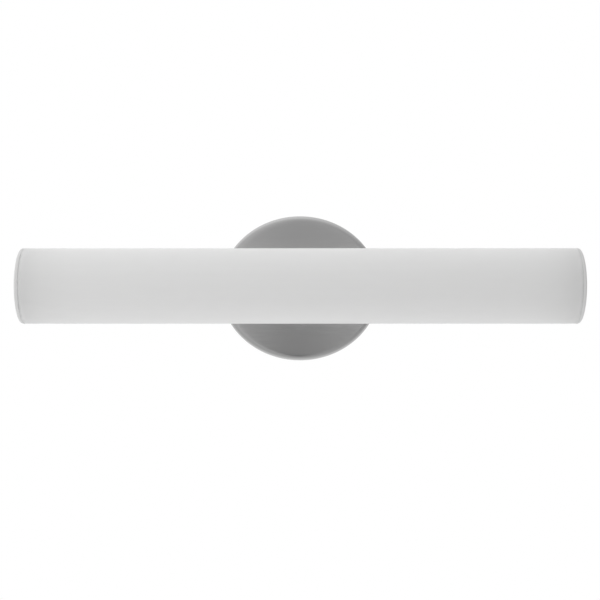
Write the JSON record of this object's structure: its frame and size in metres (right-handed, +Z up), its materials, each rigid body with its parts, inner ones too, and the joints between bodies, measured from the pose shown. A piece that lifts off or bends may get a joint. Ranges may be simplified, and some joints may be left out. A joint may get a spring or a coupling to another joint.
{
  "type": "vanity light",
  "caption": "Horizontal wall light for over a mirror: a plain opal tube with flat end caps on a short stem, in front of an oval satin-metal canopy that locks onto a wall plate.",
  "frame": {"origin": "centre of the mounting plate on the wall plane, midway between the box screw slots", "axes": "+X along the tube, to the right as seen from the room; +Y into the wall; +Z up"},
  "size_m": [0.457, 0.1016, 0.124],
  "materials": {
    "opal_acrylic": "opal satin acrylic",
    "cap_white": "satin moulded polycarbonate",
    "brushed_nickel": "satin brushed nickel plate on steel",
    "stem_nickel": "satin nickel on turned aluminium",
    "zinc_steel": "bright zinc plate",
    "green_steel": "green dyed zinc plate",
    "spine_aluminium": "mill finish extrusion",
    "board_white": "white solder mask",
    "led_white": "white moulded package",
    "led_phosphor": "phosphor filled silicone",
    "connector_white": "natural nylon",
    "black_foam": "closed-cell foam",
    "clear_silicone": "translucent silicone",
    "black_rubber": "sealing rubber",
    "driver_white": "fine grained moulding",
    "driver_board_green": "green solder mask",
    "transformer_tape": "yellow winding tape",
    "capacitor_black": "black sleeve on a can",
    "terminal_nylon": "natural polyamide",
    "brass": "bright turned",
    "tinned_copper": "tin plate",
    "lead_black": "extruded insulation",
    "lead_white": "extruded insulation",
    "lead_green": "extruded insulation",
    "lead_red": "extruded insulation",
    "washer_nylon": "natural nylon"
  },
  "bodies": {
    "wall_plate": {"mounting_plate": "zinc_steel", "side_tabs": "zinc_steel", "ground_screw": "green_steel"},
    "fixture": {"diffuser_tube": "opal_acrylic", "canopy_face": "brushed_nickel", "canopy_band": "brushed_nickel", "canopy_gasket": "black_foam", "clinch_nuts": "zinc_steel", "stem": "stem_nickel", "saddle_pad": "clear_silicone", "stem_screws": "zinc_steel", "nipple": "zinc_steel", "lock_washer": "zinc_steel", "rear_nut": "zinc_steel", "wire_bushing": "connector_white", "spine": "spine_aluminium", "t_nut": "zinc_steel", "led_board": "board_white", "board_screws": "zinc_steel", "board_connector": "connector_white", "led_housings": "led_white", "led_phosphors": "led_phosphor", "driver_case": "driver_white", "driver_cover": "driver_white", "driver_pad": "black_foam", "driver_board": "driver_board_green", "driver_transformer": "transformer_tape", "driver_capacitors": "capacitor_black", "terminal_block": "terminal_nylon", "terminal_sleeves": "brass", "terminal_screws": "zinc_steel", "terminal_pad": "black_foam", "earth_stud": "brass", "earth_nut": "brass", "earth_lug": "tinned_copper", "earth_lead": "lead_green", "live_lead": "lead_black", "neutral_lead": "lead_white", "led_lead_positive": "lead_red", "led_lead_negative": "lead_black"},
    "end_cap_left": {"end_cap_left": "cap_white", "sealing_ring_left": "black_rubber"},
    "end_cap_right": {"end_cap_right": "cap_white", "sealing_ring_right": "black_rubber"},
    "lock_washer_left": {"lock_screw_washer_left": "washer_nylon"},
    "lock_washer_right": {"lock_screw_washer_right": "washer_nylon"},
    "lock_screw_left": {"lock_screw_left": "brushed_nickel"},
    "lock_screw_right": {"lock_screw_right": "brushed_nickel"}
  },
  "joints": [
    {"name": "canopy_pull", "type": "slide", "parent": "wall_plate", "child": "fixture", "axis": [0, -1, 0], "range_m": [0, 0.06]},
    {"name": "end_cap_left_pull", "type": "slide", "parent": "fixture", "child": "end_cap_left", "axis": [-1, 0, 0], "range_m": [0, 0.03]},
    {"name": "end_cap_right_pull", "type": "slide", "parent": "fixture", "child": "end_cap_right", "axis": [1, 0, 0], "range_m": [0, 0.03]},
    {"name": "lock_screw_left_travel", "type": "slide", "parent": "fixture", "child": "lock_washer_left", "axis": [-1, 0, 0], "range_m": [0, 0.0042]},
    {"name": "lock_screw_left_turn", "type": "hinge", "parent": "lock_washer_left", "child": "lock_screw_left", "pos_m": [-0.0685, -0.012, 0], "axis": [-1, 0, 0], "range_deg": [0, 2160]},
    {"name": "lock_screw_right_travel", "type": "slide", "parent": "fixture", "child": "lock_washer_right", "axis": [1, 0, 0], "range_m": [0, 0.0042]},
    {"name": "lock_screw_right_turn", "type": "hinge", "parent": "lock_washer_right", "child": "lock_screw_right", "pos_m": [0.0685, -0.012, 0], "axis": [1, 0, 0], "range_deg": [0, 2160]}
  ],
  "couplings": [
    {"joint": "lock_screw_left_turn", "follows": "lock_screw_left_travel", "rad_per_m": 8975.1},
    {"joint": "lock_screw_right_turn", "follows": "lock_screw_right_travel", "rad_per_m": 8975.1}
  ]
}
